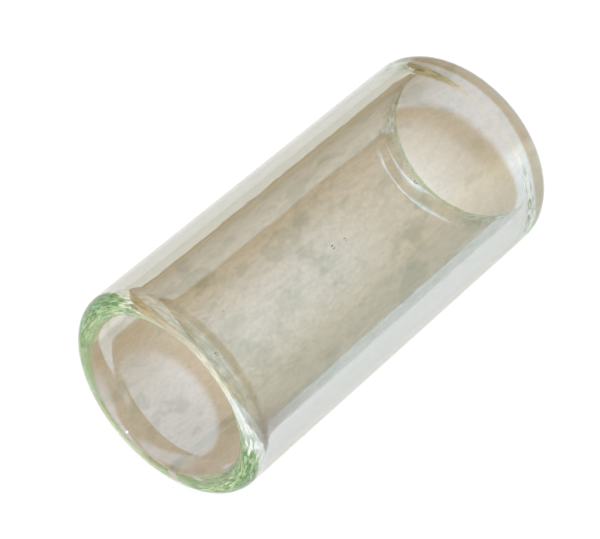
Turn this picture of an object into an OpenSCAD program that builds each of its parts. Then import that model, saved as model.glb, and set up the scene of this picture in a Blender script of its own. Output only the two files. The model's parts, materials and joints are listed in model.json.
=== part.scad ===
// Guitar slide: one length of clear glass tube, open at both ends.
// The tube lies along X with its centre at the origin, +Z up.
// Both rims are melted smooth: the wall thickens inwards to a bead and ends in a rounded nose.

/* [Tube] */
// Outer diameter of the barrel
outer_d = 29; // [28:0.5:32]
// Inner diameter of the barrel between the two beads
bore_d = 23.2; // [23:0.1:24.6]
// Overall length from rim to rim
tube_l = 60; // [45:1:75]

/* [Rims] */
// Inner diameter at the crest of each bead, the size a finger has to pass
opening_d = 22.5; // [21:0.1:22.8]
// Radius of the two shoulders that lead to the nose of a rim
shoulder_r = 3.6; // [3:0.1:5]
// Radius of the nose itself
nose_r = 1; // [0.6:0.1:1.2]
// Length of straight wall at the crest of a bead
crest_l = 1.5; // [0.5:0.1:3]
// Length over which the bead falls back to the bore
fall_l = 2.5; // [2:0.1:5]

/* [Preview] */
// Facets of the round surfaces in the preview
facets = 128; // [48:16:256]

/* [Hidden] */

outer_r = outer_d / 2;
bore_r = bore_d / 2;
opening_r = opening_d / 2;
half_rim_t = (outer_r - opening_r) / 2;

// The nose arc touches both shoulder arcs from inside.
shoulder_offset = shoulder_r - half_rim_t;
nose_rise = sqrt(pow(shoulder_r - nose_r, 2) - pow(shoulder_offset, 2));
touch_rise = nose_rise * shoulder_r / (shoulder_r - nose_r);
rim_h = nose_rise + nose_r;

// The fall is two equal arcs that meet halfway, one convex and one concave.
bead_h = bore_r - opening_r;
fall_r = (pow(fall_l, 2) + pow(bead_h, 2)) / (4 * bead_h);

straight_l = tube_l - 2 * rim_h;
crest_end = straight_l / 2 - crest_l;
fall_middle = crest_end - fall_l / 2;
bore_end = crest_end - fall_l;

// The sections below have the radius from the axis to the right and the tube's length upwards.
module nose_section() {
    intersection() {
        translate([outer_r - shoulder_r, 0])
            circle(r = shoulder_r, $fn = facets);
        translate([opening_r + shoulder_r, 0])
            circle(r = shoulder_r, $fn = facets);
        translate([opening_r, 0])
            square([2 * half_rim_t, touch_rise]);
    }
    translate([opening_r + half_rim_t, nose_rise])
        circle(r = nose_r, $fn = facets);
}

// The hollow that one bead's fall and half the bore take out of the wall.
module half_bore_section() {
    square([bore_r, bore_end]);
    translate([bore_r - fall_r, bore_end])
        circle(r = fall_r, $fn = facets);
    difference() {
        translate([0, fall_middle])
            square([opening_r + bead_h / 2, fall_l / 2]);
        translate([opening_r + fall_r, crest_end])
            circle(r = fall_r, $fn = facets);
    }
}

module half_wall_section() {
    difference() {
        translate([opening_r, 0])
            square([2 * half_rim_t, straight_l / 2]);
        half_bore_section();
    }
    translate([0, straight_l / 2])
        nose_section();
}

module glass_tube() {
    color([0.88, 0.93, 0.85, 0.45])
        rotate([0, 90, 0])
            rotate_extrude($fn = facets) {
                half_wall_section();
                mirror([0, 1])
                    half_wall_section();
            }
}

glass_tube();
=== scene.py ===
# A glass guitar slide on a pale floor, in metres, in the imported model's frame: the tube lies along X.
import json
import math

import bmesh
import bpy
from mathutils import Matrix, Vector, noise

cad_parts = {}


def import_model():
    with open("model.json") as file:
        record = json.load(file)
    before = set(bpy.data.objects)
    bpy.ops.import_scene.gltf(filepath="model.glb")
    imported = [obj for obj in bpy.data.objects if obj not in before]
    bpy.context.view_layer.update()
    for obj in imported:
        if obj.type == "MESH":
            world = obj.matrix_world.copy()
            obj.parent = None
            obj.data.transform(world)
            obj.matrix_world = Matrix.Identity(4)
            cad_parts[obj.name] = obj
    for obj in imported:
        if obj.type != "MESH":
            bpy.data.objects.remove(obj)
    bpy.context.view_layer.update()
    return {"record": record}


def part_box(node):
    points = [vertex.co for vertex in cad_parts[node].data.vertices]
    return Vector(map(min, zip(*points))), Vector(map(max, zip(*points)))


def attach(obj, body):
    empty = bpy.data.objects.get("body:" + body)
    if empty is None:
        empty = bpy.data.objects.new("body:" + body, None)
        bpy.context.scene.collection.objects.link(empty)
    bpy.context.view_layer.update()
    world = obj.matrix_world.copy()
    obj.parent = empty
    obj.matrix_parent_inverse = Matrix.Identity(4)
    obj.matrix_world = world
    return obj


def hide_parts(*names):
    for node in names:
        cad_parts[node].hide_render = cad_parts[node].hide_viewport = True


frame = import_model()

# ---- sizes, from the frame ----
TUBE_LOW, TUBE_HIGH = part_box("glass_tube")
HALF_LENGTH = (TUBE_HIGH.x - TUBE_LOW.x) / 2
OUTER_R = (TUBE_HIGH.z - TUBE_LOW.z) / 2
FLOOR_Z = TUBE_LOW.z
MOUNTS = {m["name"]: m for m in frame["record"]["mounts"]}
OPENING_R = MOUNTS["finger_opening"]["dims"]["r_mm"] / 1000

# ---- the wall's section; the near end is at -X ----
BORE_R = 0.80 * OUTER_R         # inner radius between the two beads
FALL_LENGTH = 0.15 * OUTER_R    # over this a bead falls back to the bore
# Radii of a rim's three arcs: outer shoulder, nose, inner shoulder.
# The near rim was melted unevenly: it is rounder on the side that faces up.
NEAR_RIM_UPPER = (0.14 * OUTER_R, 0.10 * OUTER_R, 0.14 * OUTER_R)
NEAR_RIM_LOWER = (0.15 * OUTER_R, 0.05 * OUTER_R, 0.30 * OUTER_R)
FAR_RIM = (0.15 * OUTER_R, 0.05 * OUTER_R, 0.35 * OUTER_R)
ROUNDEST_AT = math.radians(124)  # a turn round the tube starts at +Y and goes towards +Z
ARC_STEPS = 14
FALL_STEPS = 10
BARREL_STEPS = 24
ROUND_STEPS = 640

# ---- unevenness of drawn and melted glass ----
# Each kind has a depth in metres, waves round the tube and a place of its own in the noise.
BORE_LINES = (0.000010, 4.0, 10)
OVAL = (0.00005, 0.4, 20)
BARREL_LINES = (0.000010, 4.0, 30)
RIM_WAVES = (0.00008, 1.2, 40)
NOSE_RIPPLE = (0.000005, 22.0, 50)
SIDE_RIPPLE = (0.000005, 22.0, 60)
DRAWN_STRETCH = 15.0            # noise units per metre along the tube
RIPPLE_LENGTH = 0.001           # metres per noise unit across a rim
RIM_APART = 5                   # noise units that keep one rim's waves apart from the other's
MELTED_LENGTH = 0.3 * OUTER_R   # length of each end that the melting moved

# Bubbles in the wall: share of the half length from the middle, degrees of turn, radius in metres.
BUBBLES = (
    (-0.79, 110, 0.00010),
    (-0.93, 128, 0.00010),
    (-0.02, 140, 0.00009),
    (-0.21, 175, 0.00009),
    (0.32, 85, 0.00009),
    (-0.20, 121, 0.00028),
    (-0.13, 122, 0.00023),
    (0.33, 123, 0.00026),
    (-0.94, 124, 0.00025),
)
BUBBLE_SEGMENTS = 16
BUBBLE_RINGS = 10

# ---- light ----
KEY_FROM = Vector((-0.69, -0.64, 1.0))
KEY_WIDTH = math.radians(2.7)
KEY_ENERGY = 2.86
KEY_COLOUR = (0.47, 0.675, 0.99)
ACROSS_KEY = KEY_FROM.cross(Vector((1, 0, 0))).normalized()  # square to the tube and to the key light
SKY_FRONT = (1.22, 1.06, 0.83, 1)   # towards -Y
SKY_BACK = (0.58, 0.46, 0.31, 1)    # towards +Y
BACKDROP = (0.98, 0.98, 0.98, 1)    # what the camera sees beyond the floor
BOUNCES = 64
TRANSPARENT_BOUNCES = 16

# ---- glass: light takes on the square root of a surface's tint at each crossing ----
GLASS_IOR = 1.5
GLASS_CLEAR = (0.97, 0.97, 0.965, 1)
GLASS_EDGE = (0.45, 0.465, 0.445, 1)
EDGE_FACING = (0.15, 0.6)       # Layer Weight facing over which clear turns to edge
GLASS_ABSORBS = (0.36, 0.86, 0.40, 1)
GLASS_DENSITY = 5.6             # per metre
# Painted shade: the wall on the side along ACROSS_KEY is tinted warmer and darker, for the shaded floor
# that it shows.
SHADED_SIDE_TINT = (0.97, 0.935, 0.85, 1)
SHADED_SIDE_SPAN = (0.40 * OUTER_R, 0.65 * OUTER_R)    # along ACROSS_KEY

# Each noise has its waves per metre along X, Y and Z, and its detail.
DRAWN_NOISE = ((120, 500, 500), 3.0)
DRAWN_BUMP = 0.000010

GRAIN_NOISE = ((1800, 2400, 2400), 3.0)
GRAIN = (0.94, 0.945, 0.93, 1)
GRAIN_SPAN = (0.40, 0.62)

# ---- glass: the melted rims, whose strands run round like a rope's ----
RIM_PALE = (0.98, 1.0, 0.97, 1)
RIM_DEEP = (0.10, 0.24, 0.055, 1)
MELTED_SPAN = (HALF_LENGTH - MELTED_LENGTH / 2, HALF_LENGTH)
ROPE_NOISE = ((4200, 4200, 700), 2.0)           # along X, outwards and round the tube
STRAND_SPAN = (0.42, 0.56)
ROPE_SIDES = (0.45 * OUTER_R, 0.8 * OUTER_R)    # distance along ACROSS_KEY, either way
ROPE_LEAST = 0.15
ROPE_TOP = (0.1 * OUTER_R, 0.6 * OUTER_R)       # height
ROPE_ON_TOP = 0.5
RIM_BUMP = 0.000035

# ---- glass: the worn film in the bore ----
BORE_SPAN = (BORE_R, BORE_R + 0.1 * OUTER_R)
BORE_FILM = (0.75, 0.73, 0.735, 1)
BORE_COOL = (0.74, 0.80, 0.79, 1)
COOL_SPAN = (0.2 * OUTER_R, -0.7 * OUTER_R)     # along Y
# The bore is darker below near the near end and above near the far end.
BORE_END_DARK = (0.46, 0.44, 0.42, 1)              # below near the near end, above near the far end
END_DARK_TURN = (0.0, 0.6 * OUTER_R)               # height over which the darkening changes ends
END_DARK_SPAN = (0.8 * OUTER_R, 1.6 * OUTER_R)     # distance from the middle
BORE_SMUDGE = (0.52, 0.60, 0.53, 1)
SMUDGE_NOISE = ((170, 260, 260), 12.0)
SMUDGE_SPAN = (0.53, 0.63)
SMUDGE_MOST = 0.6
STREAK_NOISE = ((420, 1300, 1300), 6.0)
STREAK_SPAN = (0.45, 0.62)
STREAK_MOST = 0.22

# ---- the shadow, by the share of light that an unseen skin lets through ----
SHADE_STEPS = 256
BACK_EDGE = (0.05, 0.85)        # normal along ACROSS_KEY
FRONT_EDGE = (-1.0, -0.55)
PASS_MOST = 0.79
PASS_BACK = 0.08
FAR_DIM = (0.020, 0.006)        # distances from the far end between which the passing light falls off
FAR_PASS = 0.36
RIM_STOPS = (0.35, 0.60)        # how far the skin turns to an end before it stops the light
FLANGE_R = 0.66 * OUTER_R       # the near bead also throws the light aside, down to this radius
FAR_BAND = (0.0058, 0.0046)     # distances from the far end over which the upper side goes dark
BAND_HEIGHT = (0.0, 0.4 * OUTER_R)
GLEAM = 2.0                     # the bright line beside the rim's shadow
GLEAM_FROM_END = 0.0017
GLEAM_WIDTH = 0.0004
GLEAM_HEIGHT = (-0.3 * OUTER_R, 0.0)
SKY_FACING = (0.3, 1.0)         # Layer Weight facing over which less of the sky passes
SKY_PASS = (0.99, 0.90)

# ---- floor ----
FLOOR_REACH = 3.0
FLOOR_COLOUR = (0.85, 0.85, 0.85, 1)
FLOOR_ROUGHNESS = 0.9
FLOOR_GLOSS = 0.1

# ---- camera ----
CAMERA_AT = Vector((-13.95, -11.02, 16.42)) * OUTER_R
CAMERA_LOOK = Vector((0.572, 0.460, -0.679))
LENS_MM = 168
SENSOR_MM = 36
CLIP = (0.01, 20)


# ---- shapes ----
def rim_profile(shoulder_r, nose_r, inner_r):
    """(distance from the end plane, radius) from the barrel, round three touching arcs and the bead,
    to the bore."""
    shoulder_at = OUTER_R - shoulder_r
    inner_at = OPENING_R + inner_r
    to_shoulder = shoulder_r - nose_r
    to_inner = inner_r - nose_r
    gap = inner_at - shoulder_at
    nose_at = (shoulder_at + inner_at) / 2 + (to_shoulder ** 2 - to_inner ** 2) / (2 * gap)
    rise = math.sqrt(to_shoulder ** 2 - (nose_at - shoulder_at) ** 2)
    first = math.atan2(rise, nose_at - shoulder_at)
    last = math.atan2(rise, nose_at - inner_at)
    arcs = (
        (shoulder_at, 0, shoulder_r, 0, first),
        (nose_at, rise, nose_r, first, last),
        (inner_at, 0, inner_r, last, math.pi),
    )
    points = [(rise + nose_r, OUTER_R)]
    for centre_r, centre_rise, radius, start, stop in arcs:
        for i in range(1, ARC_STEPS + 1):
            turn = start + (stop - start) * i / ARC_STEPS
            depth = rise + nose_r - centre_rise - radius * math.sin(turn)
            points.append((depth, centre_r + radius * math.cos(turn)))
    nose_length = points[-1][0]
    for i in range(1, FALL_STEPS + 1):
        share = i / FALL_STEPS
        drop = (BORE_R - OPENING_R) * (1 - math.cos(math.pi * share)) / 2
        points.append((nose_length + FALL_LENGTH * share, OPENING_R + drop))
    return points


NEAR_UPPER = rim_profile(*NEAR_RIM_UPPER)
NEAR_LOWER = rim_profile(*NEAR_RIM_LOWER)
FAR = rim_profile(*FAR_RIM)


def between(start, stop, radius):
    """The points between two ends of a straight stretch, without the ends."""
    steps = range(1, BARREL_STEPS)
    return [(start + (stop - start) * i / BARREL_STEPS, radius) for i in steps]


def blend(first, second, share):
    """The profile that lies a share of the way from one profile to another."""
    return [[a + (b - a) * share for a, b in zip(p, q)] for p, q in zip(first, second)]


def wall_profile(turn):
    """The wall's closed section at one turn, as (x, radius) points round the far rim, back along
    the bore, round the near rim and along the barrel."""
    upper = (1 + math.cos(turn - ROUNDEST_AT)) / 2
    near_rim = blend(NEAR_LOWER, NEAR_UPPER, upper)
    far = [(HALF_LENGTH - d, r) for d, r in FAR]
    near = [(d - HALF_LENGTH, r) for d, r in reversed(near_rim)]
    bore = between(far[-1][0], near[0][0], BORE_R)
    barrel = between(near[-1][0], far[0][0], OUTER_R)
    return far + bore + near + barrel


def skin_profile():
    """The open outline of the skin that casts the shadow: a flange across the near end, then the
    barrel between two rims that both have the far one's arcs."""
    end = [(HALF_LENGTH - d, r) for d, r in FAR[:3 * ARC_STEPS + 1]]
    return [(-HALF_LENGTH, FLANGE_R)] + [(-x, r) for x, r in reversed(end)] + end


def wave(turn, along, kind):
    """Smooth unevenness in metres that closes round the tube."""
    depth, waves, layer = kind
    around = math.cos(turn) * waves, math.sin(turn) * waves + layer
    return depth * noise.noise((*around, along + layer))


def uneven(x, r, turn):
    """A point of the wall, moved as drawing and melting left it."""
    outside = (r - OPENING_R) / (OUTER_R - OPENING_R)
    along = x * DRAWN_STRETCH
    inner = wave(turn, along, BORE_LINES) + wave(turn, along, OVAL)
    outer = wave(turn, along, BARREL_LINES) + wave(turn, along, OVAL)
    to_end = min(max((abs(x) - HALF_LENGTH + MELTED_LENGTH) / MELTED_LENGTH, 0.0), 1.0)
    melted = to_end * to_end * (3 - 2 * to_end)
    own_rim = math.copysign(1, x) * RIM_APART
    shift = wave(turn, own_rim, RIM_WAVES) + wave(turn, r / RIPPLE_LENGTH, NOSE_RIPPLE)
    ripple = wave(turn, x / RIPPLE_LENGTH, SIDE_RIPPLE)
    return x + melted * shift, r + inner + (outer - inner) * outside + melted * ripple


def lathe(name, section_at, closed, steps, shape=None):
    """A smooth mesh object, turned round the tube's axis from the points of section_at(turn)."""
    mesh = bpy.data.meshes.new(name)
    bm = bmesh.new()
    rings = []
    for step in range(steps):
        turn = 2 * math.pi * step / steps
        points = section_at(turn)
        if shape:
            points = [shape(x, r, turn) for x, r in points]
        across = math.cos(turn), math.sin(turn)
        rings.append([bm.verts.new((x, r * across[0], r * across[1])) for x, r in points])
    for step, ring in enumerate(rings):
        following = rings[(step + 1) % steps]
        for i in range(len(ring) if closed else len(ring) - 1):
            k = (i + 1) % len(ring)
            bm.faces.new((ring[i], ring[k], following[k], following[i]))
    bmesh.ops.recalc_face_normals(bm, faces=bm.faces)
    for face in bm.faces:
        face.smooth = True
    bm.to_mesh(mesh)
    bm.free()
    made = bpy.data.objects.new(name, mesh)
    bpy.context.collection.objects.link(made)
    return made


def add_bubbles(tube):
    """Air bubbles left in the wall: small spheres whose faces look inwards, into the air."""
    middle_r = (OUTER_R + BORE_R) / 2
    bubbles = bmesh.new()
    for share, degrees, radius in BUBBLES:
        turn = math.radians(degrees)
        across = middle_r * math.cos(turn), middle_r * math.sin(turn)
        sphere = bmesh.ops.create_uvsphere(
            bubbles, u_segments=BUBBLE_SEGMENTS, v_segments=BUBBLE_RINGS, radius=radius)
        centre = Vector((share * HALF_LENGTH, *across))
        bmesh.ops.translate(bubbles, verts=sphere["verts"], vec=centre)
    bmesh.ops.reverse_faces(bubbles, faces=bubbles.faces)
    for face in bubbles.faces:
        face.smooth = True
    mesh = bpy.data.meshes.new("bubbles")
    bubbles.to_mesh(mesh)
    bubbles.free()
    wall = bmesh.new()
    wall.from_mesh(tube.data)
    wall.from_mesh(mesh)
    wall.to_mesh(tube.data)
    wall.free()
    bpy.data.meshes.remove(mesh)


# ---- nodes: most helpers add a node to a tree, link it and give its output ----
def new_material(name):
    material = bpy.data.materials.new(name)
    material.use_nodes = True
    return material, material.node_tree


def feed(tree, socket, value):
    """Links a socket to another one's output, or sets it to a plain value."""
    if isinstance(value, bpy.types.NodeSocket):
        tree.links.new(value, socket)
    else:
        socket.default_value = value


def smooth_step(tree, value, span, result=(0.0, 1.0)):
    """Goes smoothly from one result to the other as the value crosses the span."""
    node = tree.nodes.new("ShaderNodeMapRange")
    node.interpolation_type = "SMOOTHSTEP"
    for name, number in zip(("From Min", "From Max", "To Min", "To Max"), (*span, *result)):
        node.inputs[name].default_value = number
    feed(tree, node.inputs["Value"], value)
    return node.outputs["Result"]


def calculate(tree, operation, *values):
    """The result of a Math node."""
    node = tree.nodes.new("ShaderNodeMath")
    node.operation = operation
    for socket, value in zip(node.inputs, values):
        feed(tree, socket, value)
    return node.outputs["Value"]


def product(tree, first, second):
    return calculate(tree, "MULTIPLY", first, second)


def without(tree, share):
    """What a share leaves of the whole."""
    return calculate(tree, "SUBTRACT", 1.0, share)


def vector_math(tree, operation, output, *vectors):
    node = tree.nodes.new("ShaderNodeVectorMath")
    node.operation = operation
    for socket, vector in zip(node.inputs, vectors):
        feed(tree, socket, vector)
    return node.outputs[output]


def separate(tree, vector):
    """The X, Y and Z of a vector."""
    node = tree.nodes.new("ShaderNodeSeparateXYZ")
    feed(tree, node.inputs["Vector"], vector)
    return node.outputs["X"], node.outputs["Y"], node.outputs["Z"]


def combine(tree, x, y, z):
    node = tree.nodes.new("ShaderNodeCombineXYZ")
    for name, value in (("X", x), ("Y", y), ("Z", z)):
        feed(tree, node.inputs[name], value)
    return node.outputs["Vector"]


def mix(tree, kind, share, first, second, blend_type="MIX"):
    """A mix of two numbers (FLOAT) or two colours (RGBA)."""
    node = tree.nodes.new("ShaderNodeMix")
    node.data_type = kind
    if kind == "RGBA":
        node.blend_type = blend_type
    for name, value in (("Factor", share), ("A", first), ("B", second)):
        feed(tree, node.inputs[name], value)
    return node.outputs["Result"]


def noise_of(tree, place, kind):
    """A noise, 0 to 1, of one of the kinds named above."""
    stretch, detail = kind
    node = tree.nodes.new("ShaderNodeTexNoise")
    node.inputs["Scale"].default_value = 1.0
    node.inputs["Detail"].default_value = detail
    feed(tree, node.inputs["Vector"], vector_math(tree, "MULTIPLY", "Vector", place, stretch))
    return node.outputs["Fac"]


def bump_of(tree, height, depth, normal=None):
    node = tree.nodes.new("ShaderNodeBump")
    node.inputs["Strength"].default_value = 1.0
    node.inputs["Distance"].default_value = depth
    feed(tree, node.inputs["Height"], height)
    if normal:
        feed(tree, node.inputs["Normal"], normal)
    return node.outputs["Normal"]


# ---- glass ----
def outer_tint(tree, z, rope, sides, melted):
    """Clear outside, darker where it is seen edge on, with green strands in the melted rims."""
    facing = tree.nodes.new("ShaderNodeLayerWeight").outputs["Facing"]
    at_edge = smooth_step(tree, facing, EDGE_FACING)
    clear = mix(tree, "RGBA", at_edge, GLASS_CLEAR, GLASS_EDGE)
    strand = smooth_step(tree, rope, STRAND_SPAN)
    top = smooth_step(tree, z, ROPE_TOP, (0.0, ROPE_ON_TOP))
    ropy = calculate(tree, "MAXIMUM", sides, top)
    rim = mix(tree, "RGBA", product(tree, strand, ropy), RIM_PALE, RIM_DEEP)
    return mix(tree, "RGBA", melted, clear, rim)


def bore_tint(tree, place, x, y, z):
    """The film that fingers leave in the bore, with smudges and streaks; cooler towards -Y, and darker
    below near the near end and above near the far end.
    """
    cool = smooth_step(tree, y, COOL_SPAN)
    film = mix(tree, "RGBA", cool, BORE_FILM, BORE_COOL)
    # Darker towards the ends: below near the near end, above near the far end.
    upward = smooth_step(tree, z, END_DARK_TURN, (-1.0, 1.0))
    end_dark = smooth_step(tree, product(tree, x, upward), END_DARK_SPAN)
    end_darkened = mix(tree, "RGBA", end_dark, film, BORE_END_DARK)
    smudges = noise_of(tree, place, SMUDGE_NOISE)
    streaks = noise_of(tree, place, STREAK_NOISE)
    worn = smooth_step(tree, smudges, SMUDGE_SPAN, (0.0, SMUDGE_MOST))
    scratched = smooth_step(tree, streaks, STREAK_SPAN, (0.0, STREAK_MOST))
    cover = calculate(tree, "MAXIMUM", worn, scratched)
    return mix(tree, "RGBA", cover, end_darkened, BORE_SMUDGE, "MULTIPLY")


def glass_material():
    """Clear glass that is green through its length, with a worn film in the bore and painted warm shade
    on one side.
    """
    material, tree = new_material("clear_glass")
    shader = tree.nodes["Principled BSDF"]
    shader.inputs["Transmission Weight"].default_value = 1.0
    shader.inputs["Roughness"].default_value = 0.0
    shader.inputs["IOR"].default_value = GLASS_IOR
    place = tree.nodes.new("ShaderNodeTexCoord").outputs["Object"]
    x, y, z = separate(tree, place)
    reach = vector_math(tree, "LENGTH", "Value", combine(tree, 0.0, y, z))
    sideways = vector_math(tree, "DOT_PRODUCT", "Value", place, ACROSS_KEY)
    melted = smooth_step(tree, calculate(tree, "ABSOLUTE", x), MELTED_SPAN)

    around = calculate(tree, "ARCTAN2", y, z)  # from the top both ways, so the seam is underneath
    rope_place = combine(tree, x, reach, product(tree, around, OUTER_R))
    rope = noise_of(tree, rope_place, ROPE_NOISE)
    to_side = calculate(tree, "ABSOLUTE", sideways)
    sides = smooth_step(tree, to_side, ROPE_SIDES, (ROPE_LEAST, 1.0))

    in_bore = smooth_step(tree, reach, BORE_SPAN, (1.0, 0.0))
    outer = outer_tint(tree, z, rope, sides, melted)
    tint = mix(tree, "RGBA", in_bore, outer, bore_tint(tree, place, x, y, z))
    fine = smooth_step(tree, noise_of(tree, place, GRAIN_NOISE), GRAIN_SPAN)
    grain = product(tree, fine, without(tree, melted))
    grained = mix(tree, "RGBA", grain, tint, GRAIN, "MULTIPLY")
    # Painted shade: a warm, darker tint on the side of the wall along ACROSS_KEY.
    painted_side_shade = smooth_step(tree, sideways, SHADED_SIDE_SPAN)
    side_shaded = mix(tree, "RGBA", painted_side_shade, grained, SHADED_SIDE_TINT, "MULTIPLY")
    feed(tree, shader.inputs["Base Color"], side_shaded)

    drawn = bump_of(tree, noise_of(tree, place, DRAWN_NOISE), DRAWN_BUMP)
    ridges = product(tree, rope, product(tree, melted, sides))
    feed(tree, shader.inputs["Normal"], bump_of(tree, ridges, RIM_BUMP, drawn))

    absorption = tree.nodes.new("ShaderNodeVolumeAbsorption")
    absorption.inputs["Color"].default_value = GLASS_ABSORBS
    absorption.inputs["Density"].default_value = GLASS_DENSITY
    feed(tree, tree.nodes["Material Output"].inputs["Volume"], absorption.outputs["Volume"])
    return material


# ---- shadow ----
def clear_of_ends(tree, normal_x, x, z):
    """1 where the lamp's light passes, and 0 at both rims and in the band before the far one."""
    turned = calculate(tree, "ABSOLUTE", normal_x)
    clear_of_rim = smooth_step(tree, turned, RIM_STOPS, (1.0, 0.0))
    upper = smooth_step(tree, z, BAND_HEIGHT)
    banded = smooth_step(tree, x, [HALF_LENGTH - d for d in FAR_BAND])
    return product(tree, clear_of_rim, without(tree, product(tree, upper, banded)))


def gleam(tree, x, z):
    """A bright line round the lower half, just before the far rim."""
    peak = HALF_LENGTH - GLEAM_FROM_END
    rising = smooth_step(tree, x, (peak - GLEAM_WIDTH, peak), (0.0, GLEAM))
    falling = smooth_step(tree, x, (peak, peak + GLEAM_WIDTH), (1.0, 0.0))
    beneath = smooth_step(tree, z, GLEAM_HEIGHT, (1.0, 0.0))
    return product(tree, product(tree, rising, falling), beneath)


def shade_material():
    """Lets the key light through the tube's middle and stops it at the edges and rims, as the
    curved glass does."""
    material, tree = new_material("shade")
    tree.nodes.remove(tree.nodes["Principled BSDF"])
    surface = tree.nodes.new("ShaderNodeNewGeometry")
    normal = surface.outputs["Normal"]
    normal_x = separate(tree, normal)[0]
    x, _, z = separate(tree, surface.outputs["Position"])

    off_axis = vector_math(tree, "DOT_PRODUCT", "Value", normal, ACROSS_KEY)
    back_edge = smooth_step(tree, off_axis, BACK_EDGE, (PASS_MOST, PASS_BACK))
    front_edge = smooth_step(tree, off_axis, FRONT_EDGE)
    middle = product(tree, back_edge, front_edge)
    dimmed = smooth_step(tree, x, [HALF_LENGTH - d for d in FAR_DIM], (1.0, FAR_PASS))
    passing = calculate(tree, "ADD", product(tree, middle, dimmed), gleam(tree, x, z))
    lamp_share = product(tree, passing, clear_of_ends(tree, normal_x, x, z))

    facing = tree.nodes.new("ShaderNodeLayerWeight").outputs["Facing"]
    sky_share = smooth_step(tree, facing, SKY_FACING, SKY_PASS)
    to_lamp = tree.nodes.new("ShaderNodeLightPath").outputs["Is Shadow Ray"]
    share = mix(tree, "FLOAT", to_lamp, sky_share, lamp_share)
    passage = tree.nodes.new("ShaderNodeBsdfTransparent")
    feed(tree, passage.inputs["Color"], share)
    feed(tree, tree.nodes["Material Output"].inputs["Surface"], passage.outputs["BSDF"])
    return material


def shade():
    """An unseen skin round the tube that casts its shadow on the floor."""
    section = skin_profile()
    skin = lathe("shade", lambda turn: section, closed=False, steps=SHADE_STEPS)
    skin.data.materials.append(shade_material())
    skin.visible_camera = False
    skin.visible_glossy = False
    skin.visible_transmission = False


# ---- stage ----
def floor_material():
    material, tree = new_material("floor")
    shader = tree.nodes["Principled BSDF"]
    shader.inputs["Base Color"].default_value = FLOOR_COLOUR
    shader.inputs["Roughness"].default_value = FLOOR_ROUGHNESS
    shader.inputs["Specular IOR Level"].default_value = FLOOR_GLOSS
    return material


def floor():
    mesh = bpy.data.meshes.new("floor")
    signs = ((-1, -1), (1, -1), (1, 1), (-1, 1))
    corners = [(x * FLOOR_REACH, y * FLOOR_REACH, FLOOR_Z) for x, y in signs]
    mesh.from_pydata(corners, [], [range(len(corners))])
    plane = bpy.data.objects.new("floor", mesh)
    bpy.context.collection.objects.link(plane)
    plane.data.materials.append(floor_material())


def camera():
    data = bpy.data.cameras.new("camera")
    data.sensor_width = SENSOR_MM
    data.lens = LENS_MM
    data.clip_start, data.clip_end = CLIP
    eye = bpy.data.objects.new("camera", data)
    bpy.context.collection.objects.link(eye)
    eye.location = CAMERA_AT
    eye.rotation_euler = CAMERA_LOOK.to_track_quat("-Z", "Y").to_euler()
    bpy.context.scene.camera = eye


def key_light():
    data = bpy.data.lights.new("key", "SUN")
    data.angle = KEY_WIDTH
    data.energy = KEY_ENERGY
    data.color = KEY_COLOUR
    lamp = bpy.data.objects.new("key", data)
    bpy.context.collection.objects.link(lamp)
    lamp.rotation_euler = KEY_FROM.to_track_quat("Z", "Y").to_euler()


def world():
    """A soft sky, warmer and dimmer towards +Y, of which the camera sees only a plain backdrop."""
    made = bpy.data.worlds.new("studio")
    made.use_nodes = True
    tree = made.node_tree
    direction = tree.nodes.new("ShaderNodeTexCoord").outputs["Generated"]
    backwards = smooth_step(tree, separate(tree, direction)[1], (-1.0, 1.0))
    sky = mix(tree, "RGBA", backwards, SKY_FRONT, SKY_BACK)
    seen = tree.nodes.new("ShaderNodeLightPath").outputs["Is Camera Ray"]
    shown = mix(tree, "RGBA", seen, sky, BACKDROP)
    feed(tree, tree.nodes["Background"].inputs["Color"], shown)
    made.cycles.sampling_method = "NONE"  # the sky is smooth, so it needs no importance map
    bpy.context.scene.world = made


def light_paths():
    """Enough bounces for the light to run along the wall and out, and no noise from caustics."""
    cycles = bpy.context.scene.cycles
    cycles.max_bounces = BOUNCES
    cycles.transmission_bounces = BOUNCES
    cycles.glossy_bounces = BOUNCES
    cycles.transparent_max_bounces = TRANSPARENT_BOUNCES
    cycles.caustics_refractive = False
    cycles.caustics_reflective = False


tube = lathe("slide_glass", wall_profile, closed=True, steps=ROUND_STEPS, shape=uneven)
add_bubbles(tube)
tube.data.materials.append(glass_material())
# The skin casts the tube's shadow, so the tube itself casts none.
tube.visible_shadow = False
tube.visible_diffuse = False
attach(tube, "root")
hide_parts("glass_tube")

shade()
floor()
camera()
key_light()
world()
light_paths()
bpy.context.scene.view_settings.view_transform = "Standard"
